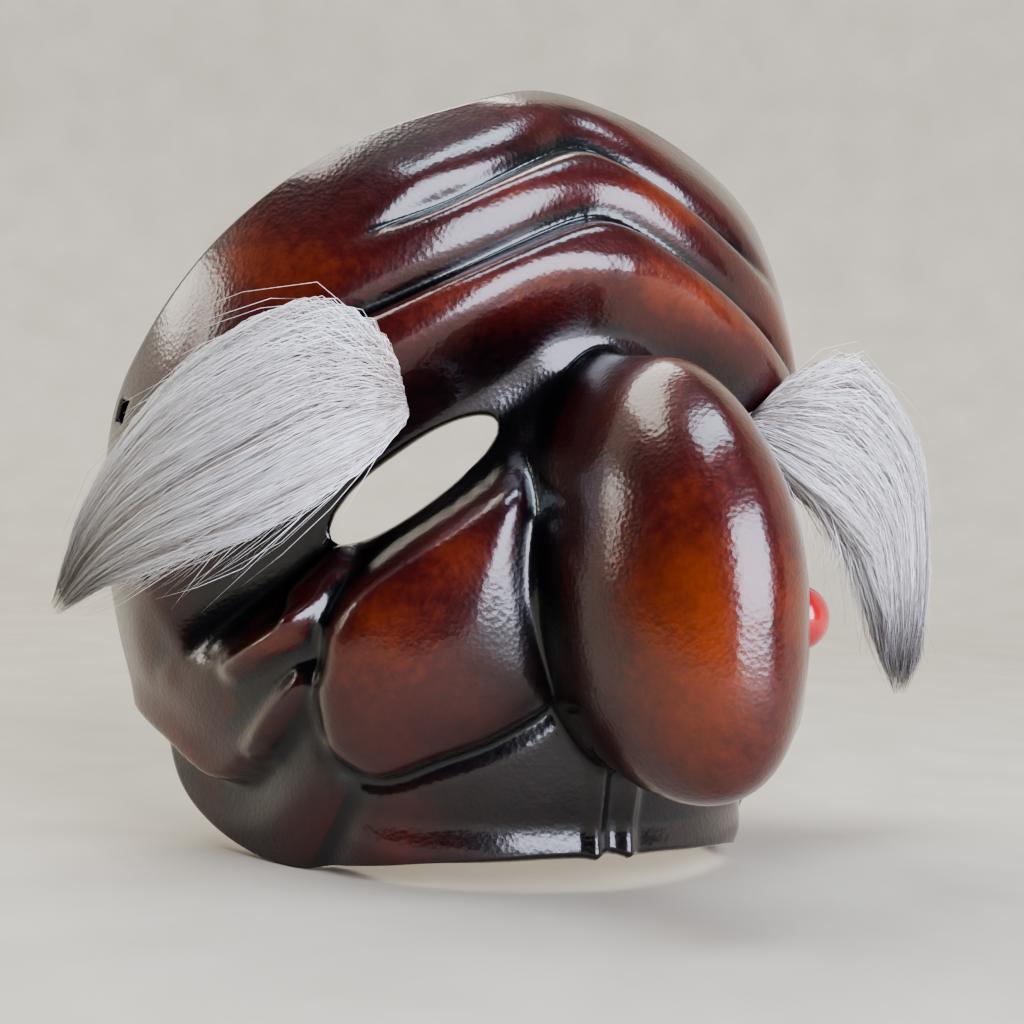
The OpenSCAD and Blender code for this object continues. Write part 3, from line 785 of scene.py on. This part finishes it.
def routeFrames(route, t):
    # centre of the tuft at t, with the direction across its width and the direction of its thickness
    route = np.array(route, float)
    stops = np.arange(len(route))
    at = lambda s: np.stack([curveThrough(stops, route[:, k], s) for k in range(3)], -1)
    run = unit(at(np.minimum(t + 0.05, stops[-1])) - at(np.maximum(t - 0.05, 0)))
    flat = unit(np.array([0, 0, 1]) - run[..., 2:] * run)
    up = np.cross(run, flat)
    return at(t), run, flat, up


def hidePoint(side, along, across):
    # a point of the skin that carries a brow: along and across run from -1 to 1
    h = furShape["hide"]
    c, s = np.cos(np.radians(h["tilt"])), np.sin(np.radians(h["tilt"]))
    p, q = h["radii"][0] * along, h["radii"][1] * across * np.sqrt(np.clip(1 - along ** 2, 0.1, 1))
    u, z = h["centre"][0] + p * c - q * s, h["centre"][1] + p * s + q * c
    return facePoint(side * u, z) + 0.9 * outwardDir(side * u, z), outwardDir(side * u, z)


def hairLines(settings, layer, rng, rings=6):
    # each hair grows out of the skin, leans over, joins its place in the tuft and follows it along
    n, layers = furShape["hairs"], furShape["layers"]
    route = settings["route"]
    last, side = len(route) - 1, np.sign(route[-1][0])
    along = -0.98 + 1.96 * rng.random(n) ** 1.3
    across = rng.uniform(-1, 1, n)
    root, normal = hidePoint(side, along, across)
    start = (along + 1) * 1.02
    stray = rng.random(n) < (0.02, 0.05, 0.13)[layer]
    length = last * (0.30 + 0.36 * rng.random(n))
    end = np.minimum(start + length, last * (0.90 + 0.10 * rng.random(n) ** 0.6))
    edge = np.sqrt(1 - across ** 2 * 0.96)
    low, high = -0.9 + 1.5 * layer / layers, -0.1 + 1.15 * (layer + 1) / layers
    height = rng.uniform(low, high, n) * edge

    # clumps: a hair leans towards the middle of its clump on the way to the tip
    clumps = furShape["clumps"]
    rng.integers(0, clumps, n)               # not used, but without it every later draw would change
    clumpQ, clumpH = np.sort(rng.uniform(-0.95, 0.95, clumps)), rng.uniform(low, high, clumps)
    clump = np.clip(np.searchsorted(clumpQ, across) + rng.integers(-2, 3, n), 0, clumps - 1)
    bendQ, bendH = rng.normal(0, 0.10, clumps)[clump], rng.normal(0, 0.14, clumps)[clump]
    clumpQ, clumpH = clumpQ[clump], clumpH[clump]

    s = np.linspace(0, 1, rings)[None, :] ** 1.15
    t = start[:, None] + (end - start)[:, None] * s
    centre, run, flat, up = routeFrames(route, t)
    stops = np.arange(last + 1)
    width = curveThrough(stops, furShape["widths"], t) / 2
    thick = curveThrough(stops, furShape["thick"], t) / 2
    pull = 0.72 * s ** 1.4
    q = across[:, None] * (1 - pull) + clumpQ[:, None] * pull + bendQ[:, None] * np.sin(3.0 * s)
    h = height[:, None] * (1 - 0.6 * pull) + clumpH[:, None] * 0.6 * pull + bendH[:, None] * s
    wander = rng.normal(0, 0.05, (n, 1)) * s + rng.normal(0, 0.022, (n, rings)) * s
    q = q + wander + np.where(stray, rng.normal(0, 0.5, n), 0)[:, None] * s ** 1.6
    h = h + rng.normal(0, 0.05, (n, rings)) * s
    h = h + np.where(stray, rng.uniform(0, 0.9, n), 0)[:, None] * s ** 1.6
    tuft = centre + (q * width)[..., None] * flat - (side * h * thick)[..., None] * up
    lift = (7.0 * s * (0.3 + 0.7 * (height[:, None] + 1) / 2))[..., None]
    lift = root[:, None] + normal[:, None] * lift
    join = smooth(0, 0.55, s * (end - start)[:, None] / 1.4)[..., None]
    line = liftOut(lift * (1 - join) + tuft * join, 0.4)
    tip = smooth(1 - furShape["tipLength"], 0.98, t / last) * smooth(0.3, 0.95, s)
    tip = np.clip(tip * rng.uniform(0.3, 1.5, (n, 1)), 0, 1)
    shade = rng.normal(0, 0.14, clumps)[clump][:, None]
    tone = np.clip(rng.normal(0.58, 0.2, (n, 1)) + shade + 0.42 * (smooth(0, 0.45, s) - 0.7), 0, 1)
    return line, tip, tone


def strandMesh(line, radius, rng):
    # three-sided tubes: every ring is three points round the line, and the last ring is thin
    n, rings = line.shape[:2]
    run = unit(np.gradient(line, axis=1))
    aside = unit(np.cross(run, rng.normal(size=(n, 1, 3))))
    over = np.cross(run, aside)
    taper = np.array([0.9, 1.0, 0.95, 0.8, 0.55, 0.18])[None, :rings] * radius * rng.uniform(0.7, 1.3, (n, 1))
    turn = np.arange(3) * 2 * np.pi / 3
    ring = (np.cos(turn)[:, None] * aside[:, :, None, :] + np.sin(turn)[:, None] * over[:, :, None, :])
    points = (line[:, :, None, :] + ring * taper[:, :, None, None]).reshape(-1, 3)
    ids = np.arange(n * rings * 3).reshape(n, rings, 3)
    a, b = ids[:, :-1], ids[:, 1:]
    sides = quads(a, np.roll(a, -1, 2), np.roll(b, -1, 2), b)
    caps = np.concatenate([ids[:, 0, ::-1], ids[:, -1]])
    return points, np.concatenate([sides, caps])


def buildFur(side, layer, material, nodes):
    settings = furShape[side]
    rng = np.random.default_rng(settings["seed"] + layer)
    line, tip, tone = hairLines(settings, layer, rng)
    points, faces = strandMesh(line, furShape["radius"], rng)
    values = {"tip": np.repeat(tip.ravel(), 3), "tone": np.repeat(tone.ravel(), 3)}
    return makePiece(f"brow_hair_{side}_{layer + 1}", points, faces, material, "fur", nodes, values)


# patches on the face and pads inside it
padShape = {                                 # middle in (u, z), radii, and depth from the egg
    "cheek": {"centre": (120, -46), "radii": (12, 18), "low": -11, "high": -8, "ripple": 0.02, "seed": 7},
    "forehead": {"centre": (0, 36), "radii": (38, 13), "low": -15.8, "high": -9.8, "ripple": 0.015,
                 "seed": 9},
    "fill": 0.9,                             # how tight the foam is
}


def discGrid(rings, sectors):
    # shares of the radius, closer together at the edge, and angles
    return np.meshgrid(np.sin(np.linspace(0, np.pi / 2, rings + 1)[1:]),
                       np.linspace(0, 2 * np.pi, sectors, endpoint=False), indexing="ij")


def buildPatch(centre, radii, tilt, low, high, onFace, seat, rings=18, sectors=96, ripple=0.0, seed=1):
    # a disc in (u, z), lifted from low to high along the outward direction, rounded at its edge
    share, turn = discGrid(rings, sectors)
    rng = np.random.default_rng(seed)
    phase = rng.uniform(0, 2 * np.pi, 6)
    wobble = 1 + ripple * sum(np.sin((k + 2) * turn + phase[k]) / (k + 2) for k in range(6))

    def place(s, angle, top):
        p, q = radii[0] * s * np.cos(angle), radii[1] * s * np.sin(angle)
        c, d = np.cos(np.radians(tilt)), np.sin(np.radians(tilt))
        u, z = centre[0] + p * c - q * d, centre[1] + p * d + q * c
        full = high - low
        lift = full * np.sqrt(np.clip(1 - np.minimum(s, 1) ** 6, 0, 1))
        h = low + seat * (full - lift) + (lift if top else 0)
        if onFace:
            return facePoint(u, z) + h[..., None] * outwardDir(u, z)
        return basePoint(u, z) - strapPoint() + h[..., None] * outwardDir(u, z)

    tops = place(share, turn, True)
    bottoms = place(share, turn, False)
    # wobble moves each ring in or out about the middle
    middle = place(np.zeros(1), np.zeros(1), True)[0]
    foot = place(np.zeros(1), np.zeros(1), False)[0]
    tops = middle + (tops - middle) * wobble[..., None]
    bottoms = foot + (bottoms - foot) * wobble[..., None]
    n = rings * sectors
    points = np.concatenate([tops.reshape(-1, 3), bottoms[:-1].reshape(-1, 3), [middle], [foot]])
    topIds = np.arange(n).reshape(rings, sectors)
    lowIds = np.concatenate([n + np.arange(n - sectors).reshape(rings - 1, sectors), topIds[-1:]])
    nextTop, nextLow = np.roll(topIds, -1, 1), np.roll(lowIds, -1, 1)
    hub, base = 2 * n - sectors, 2 * n - sectors + 1
    faces = [quads(topIds[:-1], topIds[1:], nextTop[1:], nextTop[:-1]),
             quads(lowIds[:-1], nextLow[:-1], nextLow[1:], lowIds[1:]),
             np.stack([np.full(sectors, hub), topIds[0], nextTop[0]], 1),
             np.stack([np.full(sectors, base), nextLow[0], lowIds[0]], 1)]
    faces = np.concatenate(faces)
    volume = np.einsum("ij,ij->", points[faces[:, 0]], np.cross(points[faces[:, 1]], points[faces[:, 2]]))
    return points, faces if volume > 0 else faces[:, ::-1]


def buildPad(pad, sign):
    # a foam pad on the inside of the egg, rounded on both faces
    centre = (sign * pad["centre"][0], pad["centre"][1])
    return buildPatch(centre, pad["radii"], 0, pad["low"], pad["high"], False, 0.5,
                      ripple=pad["ripple"], seed=pad["seed"])


wartShape = {"place": (38.5, -44), "radius": 7.5, "lift": 2, "seat": -2.8}


def buildWart():
    # a bead: a sphere cut off flat behind, with a slight pinch where it meets the leather
    w = wartShape
    u, z = np.array(float(w["place"][0])), np.array(float(w["place"][1]))
    out = outwardDir(u, z)
    centre = facePoint(u, z) + w["lift"] * out
    side = unit(np.cross(out, (0, 0, 1)))
    up = np.cross(side, out)
    lowest = np.arccos(w["seat"] / w["radius"])
    polar, turn = np.meshgrid(np.linspace(0, lowest, 40)[1:], np.linspace(0, 2 * np.pi, 72, endpoint=False),
                              indexing="ij")
    r = w["radius"] * (1 + 0.012 * np.sin(3 * turn + 1) * np.sin(polar))
    ring = (np.sin(polar) * r)[..., None] * (np.cos(turn)[..., None] * side + np.sin(turn)[..., None] * up)
    points = centre + ring + (np.cos(polar) * r)[..., None] * out
    rows, columns = polar.shape
    ids = np.arange(rows * columns).reshape(rows, columns)
    top, foot = rows * columns, rows * columns + 1
    points = np.concatenate([points.reshape(-1, 3), [centre + w["radius"] * out, centre + w["seat"] * out]])
    faces = np.concatenate([
        quads(ids[:-1], ids[1:], np.roll(ids[1:], -1, 1), np.roll(ids[:-1], -1, 1)),
        np.stack([np.full(columns, top), ids[0], np.roll(ids[0], -1)], 1),
        np.stack([np.full(columns, foot), np.roll(ids[-1], -1), ids[-1]], 1)])
    volume = np.einsum("ij,ij->", points[faces[:, 0]], np.cross(points[faces[:, 1]], points[faces[:, 2]]))
    return points, faces if volume > 0 else faces[:, ::-1]


# the rim: a hem turned over a wire
hemShape = {
    "width": 9,
    "wireRadius": 1.0,
    "wireIn": 1.6,                           # from the rim to the middle of the wire
    "gap": 0.05,
    "stations": 480,
}


def rimPoints(angle, distance, depth):
    # the point at a distance in from the rim and a depth under the outer surface
    def spot(turn, share):
        r = share * rimRadius(np.arcsin(np.clip(np.sin(turn), -1, 1)))
        return r * np.cos(turn), r * np.sin(turn) + faceShape["rimCentre"][1]

    edge, inside = facePoint(*spot(angle, 1.0)), facePoint(*spot(angle, 0.95))
    share = 1 - 0.05 * distance / np.linalg.norm(inside - edge, axis=-1)[:, None]
    angle, step = angle[:, None] + 0 * distance, 0.017
    inward = facePoint(*spot(angle, share - step)) - facePoint(*spot(angle, share + step))
    run = facePoint(*spot(angle + step, share)) - facePoint(*spot(angle - step, share))
    out = unit(np.cross(run, inward))
    out = out * np.where((out * outwardDir(*spot(angle, share))).sum(-1, keepdims=True) < 0, -1, 1)
    return facePoint(*spot(angle, share)) - depth[..., None] * out


def sweepRing(sections):
    # sections[station, point] joined round into a closed ring
    m, n = sections.shape[:2]
    ids = np.arange(m * n).reshape(m, n)
    a, b = ids, np.roll(ids, -1, 1)
    c, d = np.roll(ids, -1, 0), np.roll(np.roll(ids, -1, 1), -1, 0)
    points, faces = sections.reshape(-1, 3), quads(a, b, d, c)
    volume = np.einsum("ij,ij->", points[faces[:, 0]], np.cross(points[faces[:, 1]], points[faces[:, 2]]))
    return points, faces if volume > 0 else faces[:, ::-1]


def buildHem():
    # the hem's section, in distance from the rim and depth, carried round the rim
    h = hemShape
    top, r = faceShape["thickness"] + h["gap"], h["wireRadius"] + h["gap"]
    angle = np.linspace(0, 2 * np.pi, h["stations"], endpoint=False)
    section = np.array([
        (-0.1, top), (-0.2, top + 0.9 * r), (-0.05, top + 1.7 * r), (0.6, top + 2 * r + 0.75),
        (1.6, top + 2 * r + 0.9), (2.6, top + 2 * r + 0.75), (3.1, top + 1.8 * r), (3.6, top + 1.05),
        (5, top + 0.85), (h["width"] - 0.3, top + 0.75), (h["width"], top + 0.4), (h["width"] - 0.1, top),
        (5, top), (2.75, top), (2.7, top + 1.4 * r), (2.1, top + 2 * r), (1.1, top + 2 * r),
        (0.5, top + 1.4 * r), (0.45, top)])
    # hand-cut inner edge and small gathers where the strip is turned
    cut = 0.35 * np.sin(23 * angle + 1) + 0.25 * np.sin(41 * angle) + 0.2 * np.sin(67 * angle + 2)
    gather = 0.06 * np.sin(150 * angle + 3 * np.sin(5 * angle)) + 0.04 * np.sin(233 * angle)
    distance = section[None, :, 0] + cut[:, None] * smooth(6, h["width"], section[None, :, 0])
    raised = smooth(0.4, 0.8, section[None, :, 1] - top)
    depth = section[None, :, 1] + gather[:, None] * raised
    return sweepRing(rimPoints(angle, distance, depth))


def buildWire():
    # a circle carried round the rim
    angle = np.linspace(0, 2 * np.pi, hemShape["stations"], endpoint=False)
    turn = np.linspace(0, 2 * np.pi, 10, endpoint=False)
    r = hemShape["wireRadius"]
    distance = hemShape["wireIn"] + r * np.cos(turn)
    depth = faceShape["thickness"] + 2 * hemShape["gap"] + r + r * np.sin(turn)
    return sweepRing(rimPoints(angle, *(np.tile(row, (len(angle), 1)) for row in (distance, depth))))


def boreThrough(piece, radius):
    # punches the two strap holes along the X axis
    turn = np.linspace(0, 2 * np.pi, 48, endpoint=False)
    for side in (-1, 1):
        x = np.array([side * 75.0, side * 95.0])
        ring = np.stack([np.repeat(x, 48), np.tile(radius * np.cos(turn), 2),
                         np.tile(radius * np.sin(turn), 2)], 1)
        ids = np.arange(48)
        hub = np.array([[x[0], 0, 0], [x[1], 0, 0]])
        faces = np.concatenate([quads(ids, np.roll(ids, -1), np.roll(ids, -1) + 48, ids + 48),
                                np.stack([np.full(48, 96), np.roll(ids, -1), ids], 1),
                                np.stack([np.full(48, 97), ids + 48, np.roll(ids, -1) + 48], 1)])
        if side < 0:
            faces = faces[:, ::-1]
        mesh = bpy.data.meshes.new("punch")
        mesh.from_pydata((np.concatenate([ring, hub]) * mm).tolist(), [], faces.tolist())
        punch = bpy.data.objects.new("punch", mesh)
        scene.collection.objects.link(punch)
        cut = piece.modifiers.new("strapHole", "BOOLEAN")
        cut.operation, cut.solver, cut.object = "DIFFERENCE", "EXACT", punch
        shown = piece.evaluated_get(bpy.context.evaluated_depsgraph_get())
        result = bpy.data.meshes.new_from_object(shown)
        piece.modifiers.clear()
        piece.data = result
        bpy.data.objects.remove(punch)


# building
addCamera(cameraSettings)
for lightName, lightFacts in lightSettings.items():
    addLight(lightName, *lightFacts)

leather = makeLeather(leatherFinish)
flesh = makeSuede("fleshSide", finishColors["flesh"])
hemLeather = makeSuede("hemLeather", finishColors["hem"], 420)
skin = makeSuede("browSkin", finishColors["skin"], 500)
fur, wartGloss, foam, metal = makeFur(), makeWartGloss(), makeFoam(), makeWireMetal()
print("materials made")

shellPoints, shellFaces, shellSides, shellValues = buildShell()
makePiece("formed_face", shellPoints, shellFaces, [leather, flesh], "formed_leather", ["mask_shell"],
          shellValues, shellSides)
print("formed face,", len(shellFaces), "triangles")

hem = makePiece("turned_hem", *buildHem(), hemLeather, "hem_leather", ["rim_hem"])
boreThrough(hem, faceShape["strapRadius"])
makePiece("rim_stiffener", *buildWire(), metal, "rim_wire", ["rim_wire"])
print("rim made")

for sideName, sign in (("right", -1), ("left", 1)):
    hide = furShape["hide"]
    centre = (sign * hide["centre"][0], hide["centre"][1])
    patch = buildPatch(centre, hide["radii"], hide["tilt"] * sign, *hide["lift"], True, 0,
                       ripple=0.03, seed=5)
    makePiece(f"brow_skin_{sideName}", *patch, skin, "hide", [f"brow_hide_{sideName}"])
    for layer in range(furShape["layers"]):
        nodes = [f"brow_fur_{sideName}"] if layer == 0 else []
        buildFur(sideName, layer, fur, nodes)
    pad = makePiece(f"cheek_cushion_{sideName}", *buildPad(padShape["cheek"], sign), foam, "foam",
                    [f"cheek_pad_{sideName}"])
print("brows and cheek pads made")

pad = makePiece("forehead_cushion", *buildPad(padShape["forehead"], 1), foam, "foam", ["forehead_pad"])
makePiece("wart_bead", *buildWart(), wartGloss, "wart", ["cheek_wart"])


# floor and backdrop: a disc that curves up into a wall behind the mask
stageShape = {"floor": -98.4, "flat": 620, "bend": 380, "height": 1500, "reach": 4000, "halfTurn": 105}


def buildStage():
    # floor profile: straight out; wall profile: out, round a quarter circle, and up. A share that
    # depends on the direction mixes the two, so the wall stands only behind the mask
    s = stageShape
    bend = np.linspace(0, np.pi / 2, 24)
    wallFoot = s["flat"] + s["bend"]
    wallOut = np.concatenate([[0.01, 200, 400], s["flat"] + s["bend"] * np.sin(bend), [wallFoot]])
    wallUp = np.concatenate([[0, 0, 0], s["bend"] * (1 - np.cos(bend)), [s["height"]]])
    floorOut = np.concatenate([[0.01, 200, 400], np.linspace(s["flat"], s["reach"], len(bend) + 1)])
    away = np.linspace(-180, 180, 181)
    share = (1 - smooth(s["halfTurn"] - 15, s["halfTurn"] + 15, np.abs(away)))[:, None]
    out, up = wallOut * share + floorOut * (1 - share), wallUp * share + s["floor"]
    turn = np.radians(180 + cameraSettings["azimuth"] + away)[:, None]
    points = np.stack([np.sin(turn) * out, -np.cos(turn) * out, up], -1)
    ids = np.arange(out.size).reshape(out.shape)
    return points.reshape(-1, 3), quads(ids[:-1, :-1], ids[1:, :-1], ids[1:, 1:], ids[:-1, 1:])


stagePoints, stageFaces = buildStage()
mesh = bpy.data.meshes.new("studioFloor")
mesh.from_pydata((stagePoints * mm).tolist(), [], stageFaces.tolist())
mesh.polygons.foreach_set("use_smooth", np.ones(len(mesh.polygons), bool))
mesh.materials.append(makeStagePaint())
stagePiece = bpy.data.objects.new("studioFloor", mesh)
scene.collection.objects.link(stagePiece)

world = bpy.data.worlds.new("studio")
world.use_nodes = True
world.node_tree.nodes["Background"].inputs["Color"].default_value = (0.55, 0.62, 0.75, 1)
world.node_tree.nodes["Background"].inputs["Strength"].default_value = 0.10
scene.world = world
scene.view_settings.view_transform = "AgX"
scene.view_settings.look = "AgX - Medium High Contrast"
print("stage made")
